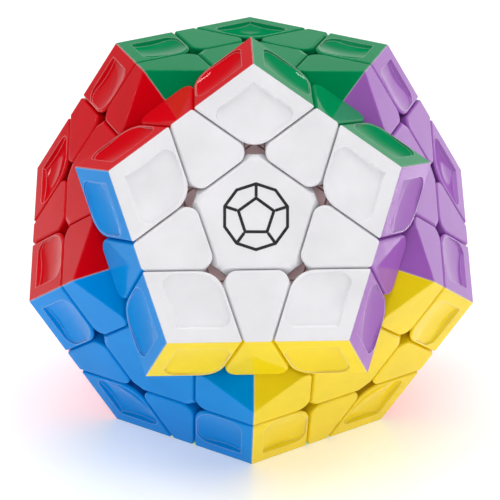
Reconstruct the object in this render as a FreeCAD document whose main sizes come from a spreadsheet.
import FreeCAD, Part
import Sketcher
import math
import os

from FreeCAD import Placement, Rotation, Vector

# A twisty dodecahedron: twelve turning layers round a hollow core.
# Every piece is drawn once in the frame of one face: the solid's centre is the origin
# and +Z is the face's outward normal.  Turned copies then fill the other places.
# Neighbouring faces lie at azimuths 18, 90, 162, 234 and 306 degrees in that frame.

doc = FreeCAD.newDocument("twisty_dodecahedron")

# ---------------------------------------------------------------- driving dimensions
# Lengths in millimetres, angles in degrees, distances along a face's axis from the centre.

DIMENSIONS = [
    ("edge_length", 33.0),           # one edge of the dodecahedron
    ("corner_share", 0.427),         # part of an edge that one corner piece takes
    ("piece_gap", 0.3),              # gap between neighbouring pieces
    ("tile_seam", 0.04),             # seam between two coloured shells of one piece
    ("layer_turn", -35.0),           # how far the front layer is turned
    ("tool_size", 120.0),            # reach of the construction slabs, beyond the solid
    ("neck_angle", 41.0),            # half angle of the cone round a layer's necks
    ("neck_overlap", 2.0),           # how far that cone runs on above the cut
    ("foot_angle", 50.0),            # half angle of the cone round a layer's feet
    ("foot_top", 23.0),              # radius of the feet's upper side
    ("foot_bottom", 18.0),           # radius of the feet's lower side
    ("corner_split", 32.2),          # radius where a corner's shells end and its foot begins
    ("edge_split", 33.4),            # radius where an edge's shells end and its foot begins
    ("facet_wall", 2.7),             # thickness of a shell behind its facet
    ("side_wall", 1.9),              # thickness of a shell's side walls
    ("rim_round", 0.4),              # rounding of a facet's rim
    ("ridge_round", 0.25),           # rounding along the dodecahedron's own edges
    ("corner_round", 5.7),           # rounding of a corner piece's inner edges
    ("edge_round", 1.8),             # rounding of an edge piece's inner edges
    ("lug_round", 1.6),              # the same on the foot's lugs behind that rounding
    ("cap_round", 1.5),              # rounding of a centre cap's five edges
    ("crown_distance", 11.7),        # flat that trims each of a centre cap's five edges
    ("crown_round", 2.0),            # rounding of that flat's upper rim
    ("dish_margin", 2.5),            # flat border between a ridge and the dish
    ("dish_inset", 0.9),             # flat border between a cut and the dish
    ("dish_lean", 25.0),             # how far the dish's walls beside the ridges lean outwards
    ("dish_depth", 1.1),             # deepest point of the dish
    ("dish_centre", 20.2),           # distance of the deepest point from the face's centre
    ("bowl_along", 19.8),            # radius of the dish's floor towards the face's centre
    ("bowl_across", 41.0),           # radius of the dish's floor across that
    ("dish_reach", 1.5),             # how far the dish's tool stands out each side of a facet
    ("dish_end_round", 2.0),         # rounding of the dish at its two narrow ends
    ("post_start", 30.2),            # posts of the feet inside their shells
    ("corner_post_radius", 1.7),
    ("corner_post_end", 41.0),
    ("edge_post_radius", 2.5),
    ("edge_post_end", 39.0),
    ("slip", 0.05),                  # clearance between pieces that are pressed together
    ("cap_bottom", 32.6),            # lower end of a centre cap's skirt
    ("cap_wall", 1.8),               # thickness of a centre cap's top
    ("collar_radius", 7.3),
    ("collar_bottom", 32.9),
    ("base_bottom", 22.3),           # centre base
    ("base_reach", 24.0),            # beyond the base's widest point
    ("tower_radius", 6.0),
    ("tower_top", 34.6),
    ("well_radius", 3.7),            # well for spring and screw head
    ("well_bottom", 25.0),
    ("bore_radius", 1.57),
    ("screw_radius", 1.5),
    ("screw_bottom", 12.0),
    ("tip_length", 1.2),
    ("head_radius", 2.9),
    ("head_bottom", 31.2),
    ("head_top", 33.0),
    ("recess_length", 3.2),
    ("recess_width", 0.7),
    ("recess_depth", 1.0),
    ("washer_thickness", 0.5),
    ("washer_hole_radius", 1.6),
    ("spring_radius", 2.4),
    ("spring_wire_radius", 0.3),
    ("spring_turns", 5.0),
    ("spring_bottom", 25.1),
    ("core_radius", 17.5),
    ("core_inner_radius", 14.0),
    ("core_seam", 0.06),
    ("arm_radius", 3.4),
    ("arm_start", 9.0),
    ("arm_end", 22.0),
    ("arm_hole_radius", 1.55),
]

sheet = doc.addObject("Spreadsheet::Sheet", "dims")
for row, (alias, number) in enumerate(DIMENSIONS, start=1):
    sheet.set(f"A{row}", alias)
    sheet.set(f"B{row}", str(number))
    sheet.setAlias(f"B{row}", alias)
doc.recompute()

# ---------------------------------------------------------------- the dodecahedron

GOLDEN = (1 + math.sqrt(5)) / 2
FACE_ANGLE = math.degrees(math.atan(2))                     # between neighbouring face normals
EDGE_POLAR = FACE_ANGLE / 2                                 # face normal to edge middle
CORNER_POLAR = math.degrees(math.atan(2 / GOLDEN ** 2))     # face normal to vertex
FACE_RATIO = GOLDEN ** 2 / (2 * math.sqrt(3 - GOLDEN))      # face distance over edge length
APOTHEM_RATIO = 1 / (2 * math.tan(math.radians(36)))
STRIP_RATIO = math.sin(math.radians(72))                    # cut strip's width on a face
DEPTH_RATIO = STRIP_RATIO * math.sin(math.radians(FACE_ANGLE))

UP = Vector(0, 0, 1)
EDGE_AZIMUTH = 90
CORNER_AZIMUTH = 54
SIDE_AZIMUTH = 18

# Expressions on the sheet that several pieces share.
FACE = f"(dims.edge_length * {FACE_RATIO})"
CUT = f"(dims.edge_length * ({FACE_RATIO} - dims.corner_share * {DEPTH_RATIO}))"
APOTHEM = f"(dims.edge_length * {APOTHEM_RATIO})"
STRIP = f"(dims.edge_length * dims.corner_share * {STRIP_RATIO})"
NECK_HEIGHT = f"({CUT} + dims.neck_overlap)"
HALF_GAP = "(dims.piece_gap / 2)"
HALF_SEAM = "(dims.tile_seam / 2)"
REACH = "(dims.tool_size / 2)"


def measure(expression):
    return float(sheet.evalExpression(expression))


def direction(polar, azimuth):
    polar = math.radians(polar)
    azimuth = math.radians(azimuth)
    across = math.sin(polar)
    return Vector(across * math.cos(azimuth), across * math.sin(azimuth), math.cos(polar))


def near_face(azimuth):
    # A half turn about the shared edge's middle carries the front face onto its neighbour.
    return Rotation(direction(EDGE_POLAR, azimuth), 180)


def far_face(azimuth):
    return Rotation(Vector(1, 0, 0), 180).multiply(near_face(-azimuth))


FACES = {
    "white": Rotation(),
    "green": near_face(90),
    "red": near_face(162),
    "blue": near_face(234),
    "yellow": near_face(306),
    "purple": near_face(18),
    "light_blue": far_face(54),
    "cream": far_face(126),
    "pink": far_face(198),
    "lime": far_face(270),
    "orange": far_face(342),
    "grey": Rotation(Vector(1, 0, 0), 180),
}
FRONT = FACES["white"]
ABOVE = FACES["green"]
RIGHT = FACES["purple"]
LEFT = FACES["red"]
NEIGHBOURS = [FACES[colour] for colour in ("green", "red", "blue", "yellow", "purple")]

# ---------------------------------------------------------------- construction helpers


def add(kind, name, expressions):
    item = doc.addObject(kind, name)
    for target, expression in expressions.items():
        item.setExpression(target, expression)
    return item


def cylinder(name, radius, low, high):
    sizes = {"Radius": radius, "Height": f"{high} - {low}", "Placement.Base.z": low}
    return add("Part::Cylinder", name, sizes)


def cone(name, angle, apex, height):
    sizes = {"Radius2": f"{height} * tan({angle})", "Height": height, "Placement.Base.z": apex}
    item = add("Part::Cone", name, sizes)
    item.Radius1 = 0
    return item


def ball(name, radius):
    return add("Part::Sphere", name, {"Radius": radius})


def slab(name, low, high):
    sizes = {
        "Length": "dims.tool_size",
        "Width": "dims.tool_size",
        "Height": f"{high} - {low}",
        "Placement.Base.x": f"-{REACH}",
        "Placement.Base.y": f"-{REACH}",
        "Placement.Base.z": low,
    }
    return add("Part::Box", name, sizes)


def turned(item, rotation):
    copy = doc.addObject("App::Link", item.Name + "_copy")
    copy.LinkedObject = item
    copy.LinkTransform = True
    copy.Placement = Placement(Vector(), rotation)
    return copy


def facing(item, normal):
    return turned(item, Rotation(UP, normal))


def common(name, shapes):
    item = doc.addObject("Part::MultiCommon", name)
    item.Shapes = shapes
    return item


def fuse(name, shapes):
    item = doc.addObject("Part::MultiFuse", name)
    item.Shapes = shapes
    return item


def cut(name, base, tool):
    item = doc.addObject("Part::Cut", name)
    item.Base = base
    item.Tool = tool
    return item


def planes_of(edge, planes):
    # Counts the given (normal, distance) planes that the whole edge lies in.
    first, last = edge.ParameterRange
    samples = [edge.valueAt(first + share * (last - first)) for share in (0.0, 0.37, 1.0)]
    tolerance = 1e-4
    found = 0
    for normal, distance in planes:
        if all(abs(normal.dot(point) - distance) < tolerance for point in samples):
            found += 1
    return found


def rounded(name, base, choices):
    # choices: (radius alias, test on an edge); the first test that holds sets the radius.
    doc.recompute()
    edges = []
    for index, edge in enumerate(base.Shape.Edges, start=1):
        for alias, test in choices:
            if test(edge):
                radius = measure(f"dims.{alias}")
                edges.append((index, radius, radius))
                break
    item = doc.addObject("Part::Fillet", name)
    item.Base = base
    item.Edges = edges
    return item


# ---------------------------------------------------------------- what one layer holds


def layer_region(name, inset, top):
    # Slab beyond the cut, cone round the necks below it, wider cone round the feet.
    head = cylinder(f"{name}_head", "dims.tool_size / 2", f"({CUT} + {inset})", top)
    neck = cone(f"{name}_neck", "dims.neck_angle", f"{inset} / sin(dims.neck_angle)", NECK_HEIGHT)
    flare = cone(f"{name}_flare", "dims.foot_angle", f"{inset} / sin(dims.foot_angle)", CUT)
    foot_ball = ball(f"{name}_foot_ball", f"dims.foot_top - {inset}")
    foot = common(f"{name}_foot", [flare, foot_ball])
    return fuse(name, [head, neck, foot])


inside = layer_region("inside_layer", HALF_GAP, FACE)
outside = layer_region("outside_layer", f"(-{HALF_GAP})", f"({FACE} + 1)")
foot_floor = ball("foot_floor", "dims.foot_bottom")

# Slabs that bound the coloured shells: within a layer, short of a layer, and the same
# again one wall thickness further in for the hollow inside them.
within = slab("within_layer", f"({CUT} + {HALF_GAP})", FACE)
short_of = slab("short_of_layer", f"(-{REACH})", f"({CUT} - {HALF_GAP})")
hollow_within = slab(
    "hollow_within",
    f"({CUT} + {HALF_GAP} + dims.side_wall)",
    f"({FACE} - dims.facet_wall)",
)
hollow_short_of = slab(
    "hollow_short_of", f"(-{REACH})", f"({CUT} - {HALF_GAP} - dims.side_wall)"
)
beyond_seam = slab("beyond_seam", HALF_SEAM, REACH)


def face_planes(rotations, distance):
    return [(rotation.multVec(UP), distance) for rotation in rotations]


face_distance = measure(FACE)
inner_distance = measure(f"{CUT} + {HALF_GAP}")
outer_distance = measure(f"{CUT} - {HALF_GAP}")

# ---------------------------------------------------------------- corner piece
# Three coloured shells with a dished facet each, on one foot.

CORNER_FACES = (FRONT, ABOVE, RIGHT)
corner_axis = direction(CORNER_POLAR, CORNER_AZIMUTH)
corner_facets = face_planes(CORNER_FACES, face_distance)
corner_cuts = face_planes(CORNER_FACES, inner_distance)

corner_block = common("corner_block", [turned(within, face) for face in CORNER_FACES])
corner_softened = rounded(
    "corner_softened",
    corner_block,
    [("corner_round", lambda edge: planes_of(edge, corner_cuts) == 2)],
)
corner_body = rounded(
    "corner_body",
    corner_softened,
    [
        ("ridge_round", lambda edge: planes_of(edge, corner_facets) == 2),
        ("rim_round", lambda edge: planes_of(edge, corner_facets) == 1),
    ],
)

# The dish: walls that lean towards the two ridges, upright walls beside the two cuts, and a
# floor rolled by a torus, so that it is deepest in the middle.
DISH_AZIMUTHS = (EDGE_AZIMUTH, SIDE_AZIMUTH)
dish_low = f"({APOTHEM} - {STRIP} + dims.dish_inset)"
dish_high = f"({APOTHEM} - dims.dish_margin)"
dish_wall = f"({dish_high} * cos(dims.dish_lean) - {FACE} * sin(dims.dish_lean))"
wall_polar = 90 + measure("dims.dish_lean")
low_normals = [direction(90, azimuth) for azimuth in DISH_AZIMUTHS]
wall_normals = [direction(wall_polar, azimuth) for azimuth in DISH_AZIMUTHS]
low_planes = [(normal, measure(dish_low)) for normal in low_normals]
wall_planes = [(normal, measure(dish_wall)) for normal in wall_normals]


def is_dish_end(edge):
    return planes_of(edge, low_planes) == 1 and planes_of(edge, wall_planes) == 1


dish_layer = slab("dish_layer", f"({FACE} - dims.dish_reach)", f"({FACE} + dims.dish_reach)")
beyond_low = slab("beyond_dish_low", dish_low, REACH)
short_of_wall = slab("short_of_dish_wall", f"(-{REACH})", dish_wall)
dish_bounds = [facing(beyond_low, normal) for normal in low_normals]
dish_bounds += [facing(short_of_wall, normal) for normal in wall_normals]
dish_prism = common("dish_prism", [dish_layer] + dish_bounds)
dish_outline = rounded(
    "dish_outline",
    dish_prism,
    [
        ("corner_round", lambda edge: planes_of(edge, low_planes) == 2),
        ("dish_end_round", is_dish_end),
    ],
)
dish_ring = add(
    "Part::Torus",
    "dish_ring",
    {"Radius1": "dims.bowl_across - dims.bowl_along", "Radius2": "dims.bowl_along"},
)
dish_floor = facing(dish_ring, direction(90, CORNER_AZIMUTH))
dish_floor.setExpression("Placement.Base.x", f"dims.dish_centre * cos({CORNER_AZIMUTH})")
dish_floor.setExpression("Placement.Base.y", f"dims.dish_centre * sin({CORNER_AZIMUTH})")
dish_floor.setExpression("Placement.Base.z", f"{FACE} + dims.bowl_across - dims.dish_depth")
dish = common("dish", [dish_outline, dish_floor])

corner_hollow_block = common(
    "corner_hollow_block", [turned(hollow_within, face) for face in CORNER_FACES]
)
corner_socket = cylinder(
    "corner_socket", "dims.corner_post_radius + dims.slip", "dims.post_start", "dims.corner_post_end"
)
corner_hollow = fuse("corner_hollow", [corner_hollow_block, facing(corner_socket, corner_axis)])
corner_inner_ball = ball("corner_inner_ball", "dims.corner_split")
corner_removed = fuse("corner_removed", [corner_hollow, corner_inner_ball])
corner_shell = cut("corner_shell", corner_body, corner_removed)
corner_wedge = common(
    "corner_wedge",
    [facing(beyond_seam, UP - face.multVec(UP)) for face in (ABOVE, RIGHT)],
)
corner_third = common("corner_third", [corner_shell, corner_wedge])
corner_tile = cut("corner_tile", corner_third, dish)

corner_foot_ball = ball("corner_foot_ball", "dims.corner_split - dims.slip")
corner_zone = cut("corner_zone", corner_foot_ball, foot_floor)
corner_foot_body = common(
    "corner_foot_body", [turned(inside, face) for face in CORNER_FACES] + [corner_zone]
)
corner_post = cylinder(
    "corner_post",
    "dims.corner_post_radius",
    "dims.post_start",
    "(dims.corner_post_end - dims.slip)",
)
corner_foot = fuse("corner_foot", [corner_foot_body, facing(corner_post, corner_axis)])

# ---------------------------------------------------------------- edge piece
# Two coloured shells with flat facets, on one foot.

EDGE_FACES = (FRONT, ABOVE)
EDGE_SIDES = (LEFT, RIGHT)
edge_axis = direction(EDGE_POLAR, EDGE_AZIMUTH)
edge_facets = face_planes(EDGE_FACES, face_distance)
edge_cuts = face_planes(EDGE_FACES, inner_distance)
edge_ends = face_planes(EDGE_SIDES, outer_distance)

edge_bounds = [turned(within, face) for face in EDGE_FACES]
edge_bounds += [turned(short_of, face) for face in EDGE_SIDES]
edge_block = common("edge_block", edge_bounds)


def is_edge_corner(edge):
    return planes_of(edge, edge_cuts) == 1 and planes_of(edge, edge_ends) == 1


edge_softened = rounded("edge_softened", edge_block, [("edge_round", is_edge_corner)])
edge_body = rounded(
    "edge_body",
    edge_softened,
    [
        ("ridge_round", lambda edge: planes_of(edge, edge_facets) == 2),
        ("rim_round", lambda edge: planes_of(edge, edge_facets) == 1),
    ],
)
edge_hollow_bounds = [turned(hollow_within, face) for face in EDGE_FACES]
edge_hollow_bounds += [turned(hollow_short_of, face) for face in EDGE_SIDES]
edge_hollow_block = common("edge_hollow_block", edge_hollow_bounds)
edge_socket = cylinder(
    "edge_socket", "dims.edge_post_radius + dims.slip", "dims.post_start", "dims.edge_post_end"
)
edge_hollow = fuse("edge_hollow", [edge_hollow_block, facing(edge_socket, edge_axis)])
edge_inner_ball = ball("edge_inner_ball", "dims.edge_split")
edge_removed = fuse("edge_removed", [edge_hollow, edge_inner_ball])
edge_shell = cut("edge_shell", edge_body, edge_removed)
edge_half = facing(beyond_seam, UP - ABOVE.multVec(UP))
edge_tile = common("edge_tile", [edge_shell, edge_half])

edge_foot_ball = ball("edge_foot_ball", "dims.edge_split - dims.slip")
edge_zone = cut("edge_zone", edge_foot_ball, foot_floor)
edge_overlap = common(
    "edge_overlap", [turned(inside, face) for face in EDGE_FACES] + [edge_zone]
)
edge_post = cylinder(
    "edge_post", "dims.edge_post_radius", "dims.post_start", "(dims.edge_post_end - dims.slip)"
)

# The foot's lugs stand behind the shells' rounded corners, level with the centre bases.
lug_tool = rounded("lug_tool", edge_block, [("lug_round", is_edge_corner)])
below_cap = slab("below_cap", f"(-{REACH})", "dims.cap_bottom")
lug_bounds = [edge_block] + [turned(below_cap, face) for face in EDGE_FACES]
lug_block = common("lug_block", lug_bounds)
edge_lugs = cut("edge_lugs", lug_block, lug_tool)

edge_foot_blank = fuse("edge_foot_blank", [edge_overlap, edge_lugs])
edge_sides = fuse("edge_sides", [turned(outside, face) for face in EDGE_SIDES])
edge_foot_body = cut("edge_foot_body", edge_foot_blank, edge_sides)
edge_foot = fuse("edge_foot", [edge_foot_body, facing(edge_post, edge_axis)])

# ---------------------------------------------------------------- centre piece
# A coloured cap clipped on a base that turns on its screw.

centre_sides_planes = face_planes(NEIGHBOURS, outer_distance)
cap_slab = slab("cap_slab", "dims.cap_bottom", FACE)
cap_block = common("cap_block", [cap_slab] + [turned(short_of, face) for face in NEIGHBOURS])
cap_softened = rounded(
    "cap_softened",
    cap_block,
    [("cap_round", lambda edge: planes_of(edge, centre_sides_planes) == 2)],
)
cap_prism = rounded(
    "cap_prism",
    cap_softened,
    [("rim_round", lambda edge: planes_of(edge, [(UP, face_distance)]) == 1)],
)

# Five flats trim the cap where four pieces meet, each with a well rounded upper rim.
crown_planes = [(Vector(1, 0, 0), measure("dims.crown_distance")), (UP, face_distance)]
crown_block = add(
    "Part::Box",
    "crown_block",
    {
        "Length": f"{REACH} + dims.crown_distance",
        "Width": "dims.tool_size",
        "Height": f"{FACE} - dims.cap_bottom + 1",
        "Placement.Base.x": f"-{REACH}",
        "Placement.Base.y": f"-{REACH}",
        "Placement.Base.z": "dims.cap_bottom - 1",
    },
)
crown = rounded(
    "crown", crown_block, [("crown_round", lambda edge: planes_of(edge, crown_planes) == 2)]
)
corner_azimuths = [CORNER_AZIMUTH + 72 * step for step in range(5)]
cap_body = common(
    "cap_body", [cap_prism] + [turned(crown, Rotation(UP, azimuth)) for azimuth in corner_azimuths]
)
cap_hollow_core = cylinder(
    "cap_hollow_core",
    "(dims.crown_distance - dims.side_wall)",
    "(dims.cap_bottom - 1)",
    f"({FACE} - dims.cap_wall)",
)
cap_hollow = common(
    "cap_hollow", [cap_hollow_core] + [turned(hollow_short_of, face) for face in NEIGHBOURS]
)
cap_shell = cut("cap_shell", cap_body, cap_hollow)
collar_outside = cylinder(
    "collar_outside", "dims.collar_radius", "dims.collar_bottom", f"({FACE} - dims.cap_wall / 2)"
)
collar_inside = cylinder(
    "collar_inside", "dims.tower_radius + dims.slip", "dims.cap_bottom", f"({FACE} - dims.cap_wall)"
)
collar = cut("collar", collar_outside, collar_inside)
centre_cap = fuse("centre_cap", [cap_shell, collar])

base_slice = cylinder("base_slice", "dims.base_reach", "dims.base_bottom", "(dims.cap_bottom - dims.slip)")
base_disc = common("base_disc", [inside, base_slice])
centre_sides = fuse("centre_sides", [turned(outside, face) for face in NEIGHBOURS])
base_plate = cut("base_plate", base_disc, centre_sides)
tower = cylinder("tower", "dims.tower_radius", "(dims.cap_bottom - 1)", "dims.tower_top")
base_solid = fuse("base_solid", [base_plate, tower])
well = cylinder("well", "dims.well_radius", "dims.well_bottom", "(dims.tower_top + 1)")
bore = cylinder("bore", "dims.bore_radius", "(dims.base_bottom - 1)", "(dims.well_bottom + 1)")
base_holes = fuse("base_holes", [well, bore])
centre_base = cut("centre_base", base_solid, base_holes)

# ---------------------------------------------------------------- screw, washer, spring

tip_end = "dims.screw_bottom + dims.tip_length"
shank = cylinder("shank", "dims.screw_radius", f"({tip_end})", "dims.head_bottom")
head = cylinder("head", "dims.head_radius", "dims.head_bottom", "dims.head_top")
tip = add(
    "Part::Cone",
    "tip",
    {
        "Radius1": "dims.screw_radius / 3",
        "Radius2": "dims.screw_radius",
        "Height": "dims.tip_length",
        "Placement.Base.z": "dims.screw_bottom",
    },
)
screw_blank = fuse("screw_blank", [shank, head, tip])
slot = add(
    "Part::Box",
    "slot",
    {
        "Length": "dims.recess_length",
        "Width": "dims.recess_width",
        "Height": "dims.recess_depth + 1",
        "Placement.Base.x": "-dims.recess_length / 2",
        "Placement.Base.y": "-dims.recess_width / 2",
        "Placement.Base.z": "dims.head_top - dims.recess_depth",
    },
)
recess = fuse("recess", [turned(slot, Rotation(UP, angle)) for angle in (0, 90)])
screw = cut("screw", screw_blank, recess)


def plane_of_body(body, role):
    for feature in body.Origin.OriginFeatures:
        if feature.Role == role:
            return feature
    raise RuntimeError(f"no {role} in {body.Name}")


washer = doc.addObject("PartDesign::Body", "washer")
washer_sketch = washer.newObject("Sketcher::SketchObject", "washer_sketch")
washer_sketch.AttachmentSupport = [(plane_of_body(washer, "XY_Plane"), "")]
washer_sketch.MapMode = "FlatFace"
washer_sketch.setExpression(
    "AttachmentOffset.Base.z", "dims.head_bottom - dims.washer_thickness"
)
for alias in ("head_radius", "washer_hole_radius"):
    radius = measure(f"dims.{alias}")
    circle = washer_sketch.addGeometry(Part.Circle(Vector(), UP, radius))
    washer_sketch.addConstraint(Sketcher.Constraint("Coincident", circle, 3, -1, 1))
    size = washer_sketch.addConstraint(Sketcher.Constraint("Radius", circle, radius))
    washer_sketch.setExpression(f"Constraints[{size}]", f"dims.{alias}")
washer_pad = washer.newObject("PartDesign::Pad", "washer_pad")
washer_pad.Profile = washer_sketch
washer_pad.setExpression("Length", "dims.washer_thickness")

spring_top = "(dims.head_bottom - dims.washer_thickness)"
spring_rise = f"({spring_top} - dims.spring_bottom - 2 * dims.spring_wire_radius)"
spring_path = add(
    "Part::Helix",
    "spring_path",
    {
        "Radius": "dims.spring_radius",
        "Height": spring_rise,
        "Pitch": f"{spring_rise} / dims.spring_turns",
        "Placement.Base.z": "dims.spring_bottom + dims.spring_wire_radius",
    },
)
spring_wire = add(
    "Part::Circle",
    "spring_wire",
    {
        "Radius": "dims.spring_wire_radius",
        "Placement.Base.x": "dims.spring_radius",
        "Placement.Base.z": "dims.spring_bottom + dims.spring_wire_radius",
    },
)
spring_wire.Placement.Rotation = Rotation(UP, Vector(0, 1, 0))
spring = doc.addObject("Part::Sweep", "spring")
spring.Sections = [spring_wire]
spring.Spine = (spring_path, ["Edge1"])
spring.Solid = True
spring.Frenet = True

# ---------------------------------------------------------------- core
# A hollow ball with twelve drilled arms, parted across the front face's axis.

core_ball = ball("core_ball", "dims.core_radius")
core_cavity = ball("core_cavity", "dims.core_inner_radius")
core_skin = cut("core_skin", core_ball, core_cavity)
arm = cylinder("arm", "dims.arm_radius", "dims.arm_start", "dims.arm_end")
arm_hole = cylinder("arm_hole", "dims.arm_hole_radius", "(dims.arm_start - 1)", "(dims.arm_end + 1)")
core_solid = fuse("core_solid", [core_skin] + [turned(arm, face) for face in FACES.values()])
core_holes = fuse("core_holes", [turned(arm_hole, face) for face in FACES.values()])
core_drilled = cut("core_drilled", core_solid, core_holes)
core_half_space = slab("core_half_space", "(dims.core_seam / 2)", REACH)
front_half = common("front_half", [core_drilled, turned(core_half_space, FACES["white"])])
rear_half = common("rear_half", [core_drilled, turned(core_half_space, FACES["grey"])])

# ---------------------------------------------------------------- which piece goes where
# Three faces that don't touch one another can turn on their own; each takes its five
# corner pieces and five edge pieces with it.

LAYERS = ("white", "light_blue", "lime")
MEMBER_ANGLE = 45
nodes = {}


def layer_of(axis):
    for colour in LAYERS:
        normal = FACES[colour].multVec(UP)
        if math.degrees(normal.getAngle(axis)) < MEMBER_ANGLE:
            return colour
    return None


def put(node, item, rotation):
    nodes.setdefault(node, []).append((item, rotation))


def tile_node(layer, colour, kind):
    if layer is None:
        return f"{colour}_tiles"
    if layer == colour:
        return f"{colour}_{kind}_tiles"
    return f"{layer}_layer_{colour}_tiles"


def foot_node(layer, kind):
    return f"{kind}_feet" if layer is None else f"{layer}_{kind}_feet"


put("core_front_half", front_half, Rotation())
put("core_rear_half", rear_half, Rotation())
seen_axes = []
for colour, face in FACES.items():
    base_node = f"{colour}_centre_base" if colour in LAYERS else "centre_bases"
    put(f"{colour}_centre_cap", centre_cap, face)
    put(base_node, centre_base, face)
    put("screws", screw, face)
    put("washers", washer, face)
    put("springs", spring, face)
    for step in range(5):
        place = face.multiply(Rotation(UP, 72 * step))
        for kind, tile, foot, axis in (
            ("corner", corner_tile, corner_foot, place.multVec(corner_axis)),
            ("edge", edge_tile, edge_foot, place.multVec(edge_axis)),
        ):
            layer = layer_of(axis)
            put(tile_node(layer, colour, kind), tile, place)
            if all(axis.getAngle(other) > 0.01 for other in seen_axes):
                seen_axes.append(axis)
                put(foot_node(layer, kind), foot, place)

# ---------------------------------------------------------------- assembly
# The lime face lies on the ground, the white face looks towards -Y, and the origin is
# the centre of the lime face.

STAND = Rotation(Vector(1, 0, 0), FACE_ANGLE)
layer_twist = Rotation(UP, measure("dims.layer_turn"))

for label, places in nodes.items():
    group = doc.addObject("Part::Compound", label)
    group.Label = label
    group.Links = [turned(item, rotation) for item, rotation in places]
    rides_white = label.startswith("white_")
    attitude = STAND.multiply(layer_twist) if rides_white else STAND
    group.Placement = Placement(Vector(0, 0, face_distance), attitude)
    group.setExpression("Placement.Base.z", FACE)

doc.recompute()

# ---------------------------------------------------------------- checks and export

for item in doc.Objects:
    if "Invalid" in item.State or "Error" in item.State:
        raise RuntimeError(f"{item.Name} failed: {item.State}")

os.makedirs("parts", exist_ok=True)
for label, places in nodes.items():
    shape = doc.getObject(label).Shape
    if shape.isNull() or not shape.isValid():
        raise RuntimeError(f"{label} has a bad shape")
    if len(shape.Solids) != len(places):
        raise RuntimeError(f"{label} holds {len(shape.Solids)} solids, not {len(places)}")
    shape.exportStep(f"parts/{label}.step")
    print(f"{label}: {len(shape.Solids)} solids, {shape.Volume:.1f} mm3")
